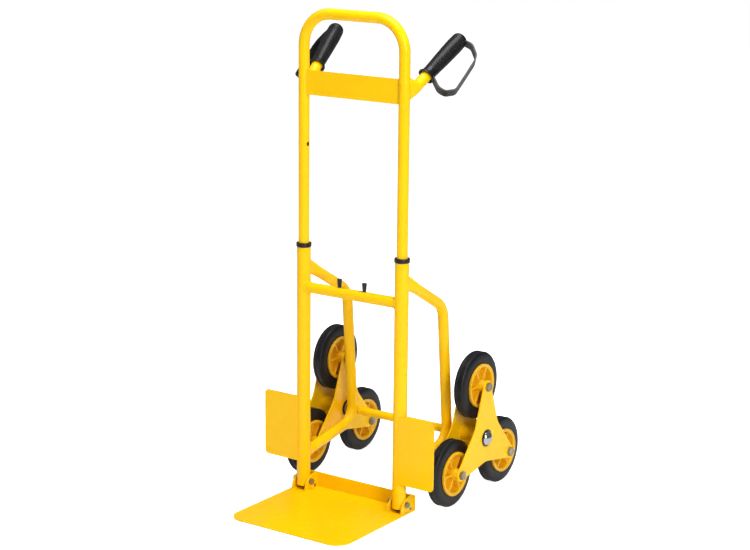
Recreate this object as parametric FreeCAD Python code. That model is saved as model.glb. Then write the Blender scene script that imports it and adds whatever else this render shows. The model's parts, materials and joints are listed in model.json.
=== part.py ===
import FreeCAD, Part
import math
import os

os.makedirs("parts", exist_ok=True)
V = FreeCAD.Vector

# Stair climbing trolley. Millimetres. +Z up, -Y front (toe plate), +Y back (wheels).
# The origin is on the floor, midway between the two uprights.

# ---------------------------------------------------------------- clearances
GAP = 0.3            # between curved faces of pieces that move past each other
RUN = 0.08           # radial clearance of a shaft turning in its hole
SEAT = 0.05          # radial clearance of a fixed piece in its seat

# ---------------------------------------------------------------- telescoping frame
INNER_R = 12.5       # radius of the sliding inner tube
TUBE_WALL = 1.5
INNER_TOP = 1123.5   # centreline height of the top run
INNER_BEND = 72.0    # centreline bend radius
INNER_FOOT = 470.0
TRAVEL = 334.0       # how far the inner tube slides down
GLIDE_FLANGE = 12.0
GLIDE_PLUG = 12.0
SIGN_LOW = 940.0
SIGN_HIGH = 995.5
SIGN_THICK = 3.0
SIGN_FRONT_Y = -6.0

# ---------------------------------------------------------------- lower frame
UPRIGHT_X = 136.0    # tube centre from the middle plane
SLIDE_ROOM = 2.0     # between the inner tube and the bore of the upright
UPRIGHT_R = INNER_R + SLIDE_ROOM + TUBE_WALL
UPRIGHT_TOP = 587.5
COLLAR_H = 10.2
COLLAR_R = UPRIGHT_R + 1.7
COLLAR_SKIRT = 28.0
CROSSBAR_Z = 493.0
CROSSBAR_R = 12.5

# ---------------------------------------------------------------- latch
KNOB_X = 34.5
KNOB_BASE_R = 4.2
KNOB_TOP_R = 6.0
KNOB_H = 19.1
STUD_R = 3.0
PIN_R = 5.0
LATCH_OUT = 3.5      # travel from just clear to fully engaged
LATCH_IN = 15.0      # travel when the knobs are squeezed together
CARRIER_HALF = 10.0  # carrier block, half its length
SPRING_WIRE_R = 0.8
SPRING_COIL_R = 7.5
SPRING_TURNS = 11.0

# ---------------------------------------------------------------- wheels
TYRE_R = 79.0
TYRE_HALF_W = 14.5
TYRE_LAND_IN = 3.6    # half the width of the groove round the middle of the tread
TYRE_LAND_OUT = 8.6   # outer edge of the flat of the tread
TYRE_GROOVE = 1.8
RIM_R = 51.6
RIM_SEAT_R = 47.0
RIM_HALF_W = 19.0
RIM_FLANGE = 5.5
RIM_INNER_R = 42.5
BOSS_R = 13.5
BOSS_HALF = 28.9
WEB_THICK = 4.0
RIB_COUNT = 6
RIB_THICK = 4.0

# ---------------------------------------------------------------- clusters
CLUSTER_OFFSET = 65.5            # upright centre to the middle plane of the wheels
CLUSTER_X = UPRIGHT_X + CLUSTER_OFFSET
PLATE_INNER_HALF = 30.0
PLATE_THICK = 3.0
ARM = 124.0          # axle centre to wheel centre
ARM_TIP_R = 15.0
WAIST = 57.0         # centre to the middle of a concave edge
WAIST_BEND = 60.0
WHEEL_COUNT = 3
AXLE_R = 10.0
HUB_BORE_R = AXLE_R + 6.5
HUB_TUBE_R = HUB_BORE_R + 2.5
BUSH_FLANGE_R = HUB_TUBE_R + 1.5
BUSH_FLANGE_T = 1.0
BUSH_LENGTH = 15.0
CAP_R = AXLE_R + 7.0
CAP_H = 10.5
CAP_DEPTH = 3.8      # how far the axle's end reaches into its cap
WASHER_T = 1.0
STOP_RING_T = 5.0
WHEEL_BOLT_R = 6.0
WHEEL_BOLT_AF = 3.0 * WHEEL_BOLT_R
WHEEL_HEAD_H = 7.5
WHEEL_NUT_H = 8.5

# ---------------------------------------------------------------- braces and axle
BRACE_R = 12.5
BRACE_TOP = (UPRIGHT_R, 540.0)  # (Y, Z) where it meets the upright
BRACE_KNEE = (171.5, 452.0)
BRACE_HEEL = (201.0, 122.0)
BRACE_FOOT = (UPRIGHT_R, 92.6)
KNEE_BEND = 55.0
HEEL_BEND = 45.0
SADDLE_BITE = 0.5               # how deep the axle sits into the brace's bend
PRESSED_WIDE = 31.0             # pressed end, across the tube
PRESSED_THIN = 12.0
PRESSED_LENGTH = 66.0
FOOT_WIDE = 29.0
FOOT_THIN = 20.0
FOOT_LENGTH = 34.0

# ---------------------------------------------------------------- wheel guards
GUARD_IN = UPRIGHT_X + 6.0
GUARD_OUT = CLUSTER_X + 36.5
GUARD_LOW = 73.5
GUARD_HIGH = 232.5
GUARD_THICK = 2.5
GUARD_FRONT_Y = -UPRIGHT_R
GUARD_CORNER = 10.0

# ---------------------------------------------------------------- toe plate and hinge
TOE_HALF_W = UPRIGHT_X + 23.5
TOE_FRONT = -260.0
TOE_BACK = UPRIGHT_R + 17.0
TOE_THICK = 3.0
TOE_CORNER = 38.0
TOE_LIP = 37.0       # height of the turned-up rear edge
TOE_BEND = 4.0       # outside radius of that bend
FOOT_DROP = 10.5     # the tube's foot, below the hinge bolt
FOOT_CLEAR = 0.36    # between the tube's swept corner and the plate
EAR_THICK = 3.0
EAR_SIDE_GAP = 1.0
EAR_RADIUS = UPRIGHT_R + 20.0
EAR_FLAT = 11.0      # flat top of an ear, in front of the web
HINGE_BOLT_R = 4.0
HINGE_BOLT_AF = 13.0
HINGE_HEAD_H = 5.3
HINGE_NUT_H = 6.8
SLEEVE_R = 7.0
STOP_PIN_R = 3.0
STOP_PIN_BEHIND = 1.5           # stop pin centre, behind the tube's back

# ---------------------------------------------------------------- handles
GRIP_ORIGIN = (UPRIGHT_X + 12.75, 64.2, 995.8)
GRIP_DIR = (0.1606, 0.8091, 0.5653)
GUARD_TILT = -35.7   # hand guard, turned down about the grip's axis
STUB_R = 12.5
GRIP_LENGTH = 138.0
GRIP_BORE_DEPTH = 122.0
STRAP_WIDE = 21.0
STRAP_THICK = 3.8
STUB_WIDE = 47.0
STUB_THIN = 11.0

# ---------------------------------------------------------------- derived places
foot_corner = math.hypot(UPRIGHT_R, FOOT_DROP)
PIVOT_Z = TOE_THICK + FOOT_CLEAR + foot_corner
UPRIGHT_FOOT = PIVOT_Z - FOOT_DROP
AXLE_Z = TYRE_R + ARM * math.cos(math.pi / WHEEL_COUNT)


def bend_centre(before, corner, after, radius):
    """The centre of a rounded corner, in (Y, Z)."""
    ay, az = before[0] - corner[0], before[1] - corner[1]
    by, bz = after[0] - corner[0], after[1] - corner[1]
    la, lb = math.hypot(ay, az), math.hypot(by, bz)
    my, mz = ay / la + by / lb, az / la + bz / lb
    half = math.acos((ay * by + az * bz) / (la * lb)) / 2.0
    reach = radius / math.sin(half) / math.hypot(my, mz)
    return corner[0] + my * reach, corner[1] + mz * reach


heel_y, heel_z = bend_centre(BRACE_KNEE, BRACE_HEEL, BRACE_FOOT, HEEL_BEND)
saddle = HEEL_BEND + BRACE_R + AXLE_R - SADDLE_BITE
AXLE_Y = round(heel_y + math.sqrt(saddle ** 2 - (heel_z - AXLE_Z) ** 2), 1)
hub_in = CLUSTER_X - PLATE_INNER_HALF - PLATE_THICK - 3.5
hub_out = CLUSTER_X + PLATE_INNER_HALF + PLATE_THICK + 0.4
washer_in = hub_out + BUSH_FLANGE_T + GAP
cap_in = washer_in + WASHER_T
AXLE_END = cap_in + CAP_DEPTH


def save(name, shape):
    shape.exportStep("parts/" + name + ".step")


def mirrored(shape):
    return shape.mirror(V(0, 0, 0), V(1, 0, 0))


def save_pair(name, shape):
    save("right_" + name, shape)
    save("left_" + name, mirrored(shape))


def cyl_x(r, x0, x1, y, z):
    return Part.makeCylinder(r, x1 - x0, V(x0, y, z), V(1, 0, 0))


def cyl_z(r, z0, z1, x, y=0.0):
    return Part.makeCylinder(r, z1 - z0, V(x, y, z0), V(0, 0, 1))


def box(x0, x1, y0, y1, z0, z1):
    return Part.makeBox(x1 - x0, y1 - y0, z1 - z0, V(x0, y0, z0))


def bent_wire(points, radii):
    """A wire through the points, with each inner corner rounded."""
    edges = []
    start = points[0]
    for i in range(1, len(points) - 1):
        here = points[i]
        a = points[i - 1].sub(here)
        b = points[i + 1].sub(here)
        a.normalize()
        b.normalize()
        half = a.getAngle(b) / 2.0
        reach = radii[i - 1] / math.tan(half)
        p = here.add(V(a).multiply(reach))
        q = here.add(V(b).multiply(reach))
        mid_dir = a.add(b)
        mid_dir.normalize()
        depth = radii[i - 1] / math.sin(half) - radii[i - 1]
        m = here.add(mid_dir.multiply(depth))
        if start.sub(p).Length > 1e-6:
            edges.append(Part.LineSegment(start, p).toShape())
        edges.append(Part.Arc(p, m, q).toShape())
        start = q
    edges.append(Part.LineSegment(start, points[-1]).toShape())
    return Part.Wire(edges)


def oval(centre, wide_dir, thin_dir, wide, thin):
    """A closed smooth outline: a circle when wide equals thin, fuller as it flattens."""
    fullness = 2.0 + 1.2 * (1.0 - thin / wide)
    points = []
    for k in range(20):
        a = 2.0 * math.pi * k / 20
        c = math.cos(a)
        s = math.sin(a)
        u = math.copysign(abs(c) ** (2.0 / fullness), c) * wide / 2.0
        w = math.copysign(abs(s) ** (2.0 / fullness), s) * thin / 2.0
        points.append(centre.add(V(wide_dir).multiply(u)).add(V(thin_dir).multiply(w)))
    curve = Part.BSplineCurve()
    curve.interpolate(points, PeriodicFlag=True)
    return Part.Wire(curve.toShape())


def pressed_run(start, direction, length, lead, wide_dir, thin_dir, wide, thin, round_d, cut):
    """The pressed end of a tube: flat at the start, round after `length`."""
    sections = []
    steps = (-lead, 0.0, 0.22, 0.44, 0.66, 0.88, 1.0)
    for s in steps:
        along = s if s < 0 else s * length
        f = max(0.0, min(1.0, s / 0.88))
        blend = f * f * (3.0 - 2.0 * f)
        w = wide + (round_d - wide) * blend - cut
        t = thin + (round_d - thin) * blend - cut
        centre = start.add(V(direction).multiply(along))
        sections.append(oval(centre, wide_dir, thin_dir, w, t))
    return Part.makeLoft(sections, True, False)


def hexagon(af, height, base, axis_x):
    """A hexagonal prism along X, its base at `base`, growing along axis_x."""
    r = af / math.sqrt(3.0)
    pts = []
    for k in range(7):
        a = math.radians(60.0 * k)
        pts.append(V(base.x, base.y + r * math.cos(a), base.z + r * math.sin(a)))
    face = Part.Face(Part.makePolygon(pts))
    solid = face.extrude(V(axis_x * height, 0, 0))
    x0 = min(base.x, base.x + axis_x * height)
    cone_r = af / 2.0 + 0.35
    trim = Part.makeCone(cone_r + height, cone_r, height, V(x0, base.y, base.z), V(1, 0, 0))
    if axis_x < 0:
        trim = Part.makeCone(cone_r, cone_r + height, height, V(x0, base.y, base.z), V(1, 0, 0))
    return solid.common(trim)


def revolved_x(profile, x, y, z):
    """Turns a closed (x, r) outline about the X direction through (x, y, z)."""
    pts = [V(x + a, y, z + r) for a, r in profile]
    pts.append(pts[0])
    face = Part.Face(Part.makePolygon(pts))
    return face.revolve(V(x, y, z), V(1, 0, 0), 360)


# ================================================================ uprights
upright_solid = cyl_z(UPRIGHT_R, UPRIGHT_FOOT, UPRIGHT_TOP, UPRIGHT_X)
upright_bore = cyl_z(UPRIGHT_R - TUBE_WALL, UPRIGHT_FOOT - 1, UPRIGHT_TOP + 1, UPRIGHT_X)
sleeve_in = UPRIGHT_X - UPRIGHT_R - EAR_SIDE_GAP + GAP
sleeve_out = UPRIGHT_X + UPRIGHT_R + EAR_SIDE_GAP - GAP
hinge_hole = cyl_x(SLEEVE_R, sleeve_in - 5, sleeve_out + 5, 0, PIVOT_Z)
latch_hole = cyl_x(PIN_R + GAP, UPRIGHT_X - UPRIGHT_R - 4, UPRIGHT_X - INNER_R / 2, 0, CROSSBAR_Z)
upright = upright_solid.cut(upright_bore).cut(hinge_hole).cut(latch_hole)
save_pair("upright_tube", upright)

sleeve = cyl_x(SLEEVE_R, sleeve_in, sleeve_out, 0, PIVOT_Z)
sleeve = sleeve.cut(cyl_x(HINGE_BOLT_R, sleeve_in - 1, sleeve_out + 1, 0, PIVOT_Z))
save("hinge_sleeves", Part.makeCompound([sleeve, mirrored(sleeve)]))

# collar: a cap ring on the upright with a skirt inside it
collar_top = UPRIGHT_TOP + COLLAR_H
collar = cyl_z(COLLAR_R, UPRIGHT_TOP, collar_top, UPRIGHT_X)
rims = [e for e in collar.Edges if abs(e.BoundBox.ZMin - e.BoundBox.ZMax) < 1e-6]
collar = collar.makeFillet(1.5, rims)
skirt = cyl_z(UPRIGHT_R - TUBE_WALL - SEAT, UPRIGHT_TOP - COLLAR_SKIRT, UPRIGHT_TOP + 2, UPRIGHT_X)
collar = collar.fuse(skirt).removeSplitter()
collar_bore = cyl_z(INNER_R + GAP, UPRIGHT_TOP - COLLAR_SKIRT - 1, collar_top + 1, UPRIGHT_X)
collar = collar.cut(collar_bore)
save_pair("collar", collar)

# ================================================================ crossbar
bar_reach = UPRIGHT_X
crossbar = cyl_x(CROSSBAR_R, -bar_reach, bar_reach, 0, CROSSBAR_Z)
crossbar = crossbar.cut(cyl_x(CROSSBAR_R - TUBE_WALL, -bar_reach - 1, bar_reach + 1, 0, CROSSBAR_Z))
crossbar = crossbar.cut(upright_solid).cut(mirrored(upright_solid))
slot_r = STUD_R + GAP
slot_in = KNOB_X - LATCH_IN
slot_out = KNOB_X + LATCH_OUT
slot = box(slot_in, slot_out, -slot_r, slot_r, CROSSBAR_Z + 2, CROSSBAR_Z + 20)
slot = slot.fuse(cyl_z(slot_r, CROSSBAR_Z + 2, CROSSBAR_Z + 20, slot_in))
slot = slot.fuse(cyl_z(slot_r, CROSSBAR_Z + 2, CROSSBAR_Z + 20, slot_out))
crossbar = crossbar.cut(slot).cut(mirrored(slot))
save("crossbar", crossbar)

# ================================================================ latch pins, knobs, spring
carrier_r = CROSSBAR_R - TUBE_WALL - GAP
carrier_in = KNOB_X - CARRIER_HALF
carrier_out = KNOB_X + CARRIER_HALF
pin_tip = UPRIGHT_X - INNER_R - GAP
knob_low = CROSSBAR_Z + CROSSBAR_R + 0.4
carrier = cyl_x(carrier_r, carrier_in, carrier_out, 0, CROSSBAR_Z)
nose = cyl_x(PIN_R, carrier_out - 2, pin_tip, 0, CROSSBAR_Z)
stud = cyl_z(STUD_R, CROSSBAR_Z, knob_low + 12, KNOB_X)
latch_pin = carrier.fuse(nose).fuse(stud).removeSplitter()
save_pair("latch_pin", latch_pin)

knob = Part.makeCone(KNOB_BASE_R, KNOB_TOP_R, KNOB_H, V(KNOB_X, 0, knob_low))
top_rim = [e for e in knob.Edges if e.BoundBox.ZMin > knob_low + KNOB_H - 0.01]
knob = knob.makeFillet(1.0, top_rim)
knob = knob.cut(cyl_z(STUD_R, knob_low - 1, knob_low + 12, KNOB_X))
save_pair("latch_knob", knob)

spring_len = 2 * carrier_in - 2 * SPRING_WIRE_R - 2 * SEAT
helix = Part.makeHelix(spring_len / SPRING_TURNS, spring_len, SPRING_COIL_R)
wire_end = Part.Wire(Part.makeCircle(SPRING_WIRE_R, V(SPRING_COIL_R, 0, 0), V(0, 1, 0)))
spring = Part.Wire(helix).makePipeShell([wire_end], True, True)
spring.rotate(V(0, 0, 0), V(0, 1, 0), 90)
spring.translate(V(-spring_len / 2.0, 0, CROSSBAR_Z))
save("latch_spring", spring)

# ================================================================ braces
def yz(p, x=UPRIGHT_X):
    return V(x, p[0], p[1])


AXLE_SOLID = cyl_x(AXLE_R, -AXLE_END, AXLE_END, AXLE_Y, AXLE_Z)
SIDE = V(1, 0, 0)


def brace_body(cut):
    """The brace's outside with cut=0, or its hollow with cut=2 walls."""
    top = yz(BRACE_TOP)
    knee = yz(BRACE_KNEE)
    heel = yz(BRACE_HEEL)
    foot = yz(BRACE_FOOT)
    down = knee.sub(top)
    down.normalize()
    back = heel.sub(foot)
    back.normalize()
    down_across = down.cross(SIDE)
    back_across = SIDE.cross(back)
    d = 2 * BRACE_R
    lead = 18.0
    upper = pressed_run(top, down, PRESSED_LENGTH, lead, down_across, SIDE,
                        PRESSED_WIDE, PRESSED_THIN, d, cut)
    lower = pressed_run(foot, back, FOOT_LENGTH, lead, back_across, SIDE,
                        FOOT_WIDE, FOOT_THIN, d, cut)
    a = top.add(V(down).multiply(PRESSED_LENGTH))
    b = foot.add(V(back).multiply(FOOT_LENGTH))
    path = bent_wire([a, knee, heel, b], [KNEE_BEND, HEEL_BEND])
    ring = oval(a, down_across, SIDE, d - cut, d - cut)
    run = path.makePipeShell([ring], True, False)
    return upper, run, lower


upper, run, lower = brace_body(0.0)
brace = upper.fuse(run).fuse(lower)
for hollow in brace_body(2 * TUBE_WALL):
    brace = brace.cut(hollow)
brace = brace.cut(upright_solid).cut(AXLE_SOLID)
brace = max(brace.Solids, key=lambda s: s.Volume)
save_pair("brace", brace)

save("axle_bar", AXLE_SOLID)

# ================================================================ wheel guards
guard = box(GUARD_IN, GUARD_OUT, GUARD_FRONT_Y, GUARD_FRONT_Y + GUARD_THICK, GUARD_LOW, GUARD_HIGH)
corners = []
for e in guard.Edges:
    bb = e.BoundBox
    if abs(bb.XMin - GUARD_OUT) < 0.01 and bb.XLength < 0.01 and bb.ZLength < 0.01:
        corners.append(e)
guard = guard.makeFillet(GUARD_CORNER, corners).cut(upright_solid)
save_pair("wheel_guard", guard)

# ================================================================ telescoping U tube
leg_top = INNER_TOP - INNER_BEND
u_points = [V(-UPRIGHT_X, 0, INNER_FOOT), V(-UPRIGHT_X, 0, INNER_TOP)]
u_points += [V(UPRIGHT_X, 0, INNER_TOP), V(UPRIGHT_X, 0, INNER_FOOT)]
u_path = bent_wire(u_points, [INNER_BEND, INNER_BEND])
ring = Part.Wire(Part.makeCircle(INNER_R, u_points[0], V(0, 0, 1)))
bore = Part.Wire(Part.makeCircle(INNER_R - TUBE_WALL, u_points[0], V(0, 0, 1)))
u_solid = u_path.makePipeShell([ring], True, False)
u_tube = u_solid.cut(u_path.makePipeShell([bore], True, False))
for z in (CROSSBAR_Z, CROSSBAR_Z + TRAVEL):
    hole = cyl_x(PIN_R + GAP, UPRIGHT_X - INNER_R - 3, UPRIGHT_X - INNER_R / 2, 0, z)
    u_tube = u_tube.cut(hole).cut(mirrored(hole))
save("inner_tube", u_tube)

glide_r = UPRIGHT_R - TUBE_WALL - GAP
glide = cyl_z(glide_r, INNER_FOOT - GLIDE_FLANGE, INNER_FOOT, UPRIGHT_X)
plug_top = INNER_FOOT + GLIDE_PLUG
glide = glide.fuse(cyl_z(INNER_R - TUBE_WALL - SEAT, INNER_FOOT - 1, plug_top, UPRIGHT_X))
glide = glide.removeSplitter()
save("tube_glides", Part.makeCompound([glide, mirrored(glide)]))

sign = box(-UPRIGHT_X, UPRIGHT_X, SIGN_FRONT_Y, SIGN_FRONT_Y + SIGN_THICK, SIGN_LOW, SIGN_HIGH)
leg_solid = cyl_z(INNER_R, SIGN_LOW - 20, SIGN_HIGH + 40, UPRIGHT_X)
sign = sign.cut(leg_solid).cut(mirrored(leg_solid))
sign = max(sign.Solids, key=lambda s: s.BoundBox.XLength)
save("sign_plate", sign)

# ================================================================ handle stubs
D = V(*GRIP_DIR)
D.normalize()
E1 = V(D.y, -D.x, 0)
E1.normalize()
E2 = E1.cross(D)
E2.normalize()
if E2.z < 0:
    E2 = E2.multiply(-1)
tilt = math.radians(GUARD_TILT)
OUT = V(E1).multiply(math.cos(tilt)).add(V(E2).multiply(math.sin(tilt)))
ACROSS = D.cross(OUT)
G0 = V(*GRIP_ORIGIN)


def stub_body(cut):
    """The stub's outside with cut=0, or its hollow with cut=2 walls."""
    d = 2 * STUB_R
    root_c = G0.add(V(-8.8, -58.2, -23.3))
    near_c = G0.add(V(-7.6, -50.2, -21.9))
    bend_c = G0.add(V(D).multiply(-27.0))
    mid_c = near_c.add(bend_c).multiply(0.5).add(V(0, 0, -1.2))
    up = V(0, 0, 1)
    side = V(1, 0, 0)
    side_d = D.cross(up)
    side_d.normalize()
    up_d = side_d.cross(D)
    mid_up = up.add(up_d)
    mid_up.normalize()
    mid_side = side.add(side_d)
    mid_side.normalize()
    start = G0.add(V(D).multiply(-20.0))
    secs = [
        oval(root_c, up, side, STUB_WIDE + 3 - cut, STUB_THIN - cut),
        oval(near_c, up, side, STUB_WIDE - cut, STUB_THIN + 1 - cut),
        oval(mid_c, mid_up, mid_side, 36.0 - cut, 17.5 - cut),
        oval(bend_c, up_d, side_d, d + 1.0 - cut, d - 1.2 - cut),
        oval(start, up_d, side_d, d - cut, d - cut),
    ]
    loft = Part.makeLoft(secs, True, False)
    end = G0.add(V(D).multiply(GRIP_BORE_DEPTH - 2))
    path = Part.Wire(Part.LineSegment(start, end).toShape())
    ring = oval(start, up_d, side_d, d - cut, d - cut)
    return loft, path.makePipeShell([ring], True, False)


loft, run = stub_body(0.0)
stub = loft.fuse(run)
for hollow in stub_body(2 * TUBE_WALL):
    stub = stub.cut(hollow)
stub = stub.cut(leg_solid)
stub = max(stub.Solids, key=lambda s: s.Volume)
save_pair("handle_stub", stub)

# ================================================================ grips with hand guards
def grip_place(shape):
    """From a local frame (Z along the grip, X outward) to the right-hand grip's place."""
    m = FreeCAD.Matrix(
        OUT.x, ACROSS.x, D.x, G0.x,
        OUT.y, ACROSS.y, D.y, G0.y,
        OUT.z, ACROSS.z, D.z, G0.z,
        0, 0, 0, 1,
    )
    placed = shape.copy()
    placed.Placement = FreeCAD.Placement(m)
    return placed


def grip_shape():
    bell = 19.6
    outline = Part.BSplineCurve()
    knots = [V(16.2, 0, 8.0), V(15.5, 0, 20.0), V(16.6, 0, 50.0), V(17.9, 0, 85.0)]
    knots += [V(18.3, 0, 110.0), V(17.6, 0, 124.0)]
    outline.interpolate(knots)
    flat_r = 6.0
    tip = Part.Arc(knots[-1], V(14.3, 0, GRIP_LENGTH - 3.2), V(flat_r, 0, GRIP_LENGTH))
    edges = [
        Part.LineSegment(V(0, 0, 0), V(bell, 0, 0)).toShape(),
        Part.LineSegment(V(bell, 0, 0), V(bell, 0, 2.6)).toShape(),
        Part.LineSegment(V(bell, 0, 2.6), knots[0]).toShape(),
        outline.toShape(),
        tip.toShape(),
        Part.LineSegment(V(flat_r, 0, GRIP_LENGTH), V(0, 0, GRIP_LENGTH)).toShape(),
        Part.LineSegment(V(0, 0, GRIP_LENGTH), V(0, 0, 0)).toShape(),
    ]
    sleeve = Part.Face(Part.Wire(edges)).revolve(V(0, 0, 0), V(0, 0, 1), 360)
    knees = [
        (128.0, 7.0), (131.5, 31.0), (114.0, 54.5), (99.0, 61.0),
        (46.0, 69.0), (9.0, 74.0), (-9.0, 59.0), (-10.0, 41.0), (4.5, 17.5),
    ]
    bends = [18.0, 18.0, 30.0, 80.0, 14.0, 15.0, 22.0]
    pts = [V(g, 0, t) for t, g in knees]
    path = bent_wire(pts, bends)
    way = pts[1].sub(pts[0])
    way.normalize()
    thin = way.cross(V(0, 1, 0))
    half_w = STRAP_WIDE / 2.0
    half_t = STRAP_THICK / 2.0
    profile = []
    for u, w in ((-1, -1), (1, -1), (1, 1), (-1, 1), (-1, -1)):
        profile.append(pts[0].add(V(0, u * half_w, 0)).add(V(thin).multiply(w * half_t)))
    strap = path.makePipeShell([Part.makePolygon(profile)], True, False)
    grip = sleeve.fuse(strap)
    grip = grip.cut(Part.makeCylinder(STUB_R + SEAT, GRIP_BORE_DEPTH + 1, V(0, 0, -1)))
    grip = grip.cut(Part.makeCylinder(16.6, 4.6, V(0, 0, -1)))
    return grip.removeSplitter()


save_pair("grip", grip_place(grip_shape()))

# ================================================================ toe plate
t = TOE_THICK
profile = [
    Part.LineSegment(V(0, TOE_FRONT, 0), V(0, TOE_BACK - TOE_BEND, 0)).toShape(),
    Part.Arc(V(0, TOE_BACK - TOE_BEND, 0),
             V(0, TOE_BACK - TOE_BEND * (1 - math.sqrt(0.5)), TOE_BEND * (1 - math.sqrt(0.5))),
             V(0, TOE_BACK, TOE_BEND)).toShape(),
    Part.LineSegment(V(0, TOE_BACK, TOE_BEND), V(0, TOE_BACK, TOE_LIP)).toShape(),
    Part.LineSegment(V(0, TOE_BACK, TOE_LIP), V(0, TOE_BACK - t, TOE_LIP)).toShape(),
    Part.LineSegment(V(0, TOE_BACK - t, TOE_LIP), V(0, TOE_BACK - t, t)).toShape(),
    Part.LineSegment(V(0, TOE_BACK - t, t), V(0, TOE_FRONT, t)).toShape(),
    Part.LineSegment(V(0, TOE_FRONT, t), V(0, TOE_FRONT, 0)).toShape(),
]
toe = Part.Face(Part.Wire(profile)).extrude(V(2 * TOE_HALF_W, 0, 0))
toe.translate(V(-TOE_HALF_W, 0, 0))
corners = []
for e in toe.Edges:
    bb = e.BoundBox
    if bb.YLength < 0.01 and bb.XLength < 0.01 and abs(bb.YMin - TOE_FRONT) < 0.01:
        corners.append(e)
toe = toe.makeFillet(TOE_CORNER, corners)
save("toe_plate", toe)

# hinge brackets: a web on the turned-up edge and two ears beside the upright
ear_back = TOE_BACK - TOE_THICK
web_front = ear_back - EAR_THICK
ear_front = web_front - EAR_FLAT - EAR_RADIUS


def ear(x0):
    c = V(x0, web_front - EAR_FLAT, TOE_THICK)
    left = V(x0, ear_front, TOE_THICK)
    top = V(x0, c.y, TOE_THICK + EAR_RADIUS)
    k = EAR_RADIUS * math.sqrt(0.5)
    edges = [
        Part.Arc(left, V(x0, c.y - k, c.z + k), top).toShape(),
        Part.LineSegment(top, V(x0, ear_back, TOE_THICK + EAR_RADIUS)).toShape(),
        Part.LineSegment(V(x0, ear_back, TOE_THICK + EAR_RADIUS), V(x0, ear_back, TOE_THICK)).toShape(),
        Part.LineSegment(V(x0, ear_back, TOE_THICK), left).toShape(),
    ]
    return Part.Face(Part.Wire(edges)).extrude(V(EAR_THICK, 0, 0))


ear_in0 = UPRIGHT_X - UPRIGHT_R - EAR_SIDE_GAP - EAR_THICK
ear_out0 = UPRIGHT_X + UPRIGHT_R + EAR_SIDE_GAP
bracket = ear(ear_in0).fuse(ear(ear_out0))
web = box(ear_in0, ear_out0 + EAR_THICK, web_front, ear_back, TOE_THICK, TOE_LIP)
bracket = bracket.fuse(web).removeSplitter()
ear_hole = cyl_x(HINGE_BOLT_R + RUN, ear_in0 - 1, ear_out0 + EAR_THICK + 1, 0, PIVOT_Z)
stop_dist = foot_corner + GAP + STOP_PIN_R
stop_y = UPRIGHT_R + STOP_PIN_BEHIND
stop_z = PIVOT_Z - math.sqrt(stop_dist ** 2 - stop_y ** 2)
stop_hole = cyl_x(STOP_PIN_R, ear_in0 - 1, ear_out0 + EAR_THICK + 1, stop_y, stop_z)
bracket = bracket.cut(ear_hole).cut(stop_hole)
save_pair("hinge_bracket", bracket)

# hinge bolts and nuts, clear of the ears so that the plate can fold
head_x = ear_out0 + EAR_THICK + GAP
nut_x = ear_in0 - GAP
bolt = cyl_x(HINGE_BOLT_R, nut_x - HINGE_NUT_H - 1.2, head_x + 1, 0, PIVOT_Z)
bolt = bolt.fuse(hexagon(HINGE_BOLT_AF, HINGE_HEAD_H, V(head_x, 0, PIVOT_Z), 1)).removeSplitter()
nut = hexagon(HINGE_BOLT_AF, HINGE_NUT_H, V(nut_x, 0, PIVOT_Z), -1)
nut = nut.cut(cyl_x(HINGE_BOLT_R, nut_x - 10, nut_x + 1, 0, PIVOT_Z))
save("hinge_bolts", Part.makeCompound([bolt, mirrored(bolt)]))
save("hinge_nuts", Part.makeCompound([nut, mirrored(nut)]))

# stop pins: riveted through the ears, they catch the foot of the tube
stop_pin = cyl_x(STOP_PIN_R, ear_in0, ear_out0 + EAR_THICK, stop_y, stop_z)
for x0, x1 in ((ear_in0 - 1.2, ear_in0), (ear_out0 + EAR_THICK, ear_out0 + EAR_THICK + 1.2)):
    stop_pin = stop_pin.fuse(cyl_x(STOP_PIN_R + 0.9, x0, x1, stop_y, stop_z))
stop_pin = stop_pin.removeSplitter()
save("stop_pins", Part.makeCompound([stop_pin, mirrored(stop_pin)]))

# ================================================================ cluster hardware on the axle
ring_out = hub_in - BUSH_FLANGE_T - GAP
stop_ring = cyl_x(AXLE_R + 6, ring_out - STOP_RING_T, ring_out, AXLE_Y, AXLE_Z)
stop_ring = stop_ring.cut(AXLE_SOLID)
save("axle_stop_rings", Part.makeCompound([stop_ring, mirrored(stop_ring)]))

axle_washer = cyl_x(CAP_R - 1.0, washer_in, washer_in + WASHER_T, AXLE_Y, AXLE_Z).cut(AXLE_SOLID)
save("axle_washers", Part.makeCompound([axle_washer, mirrored(axle_washer)]))

dome_r = (CAP_R ** 2 + CAP_H ** 2) / (2 * CAP_H)
cap = Part.makeSphere(dome_r, V(cap_in + CAP_H - dome_r, AXLE_Y, AXLE_Z))
cap = cap.common(cyl_x(CAP_R, cap_in, cap_in + CAP_H + 1, AXLE_Y, AXLE_Z))
cap = cap.cut(AXLE_SOLID)
save_pair("axle_cap", cap)


# ================================================================ clusters
def wheel_centres():
    out = []
    for k in range(WHEEL_COUNT):
        a = math.radians(90.0 + 360.0 * k / WHEEL_COUNT)
        out.append(V(0, AXLE_Y + ARM * math.cos(a), AXLE_Z + ARM * math.sin(a)))
    return out


CENTRES = wheel_centres()


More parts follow.
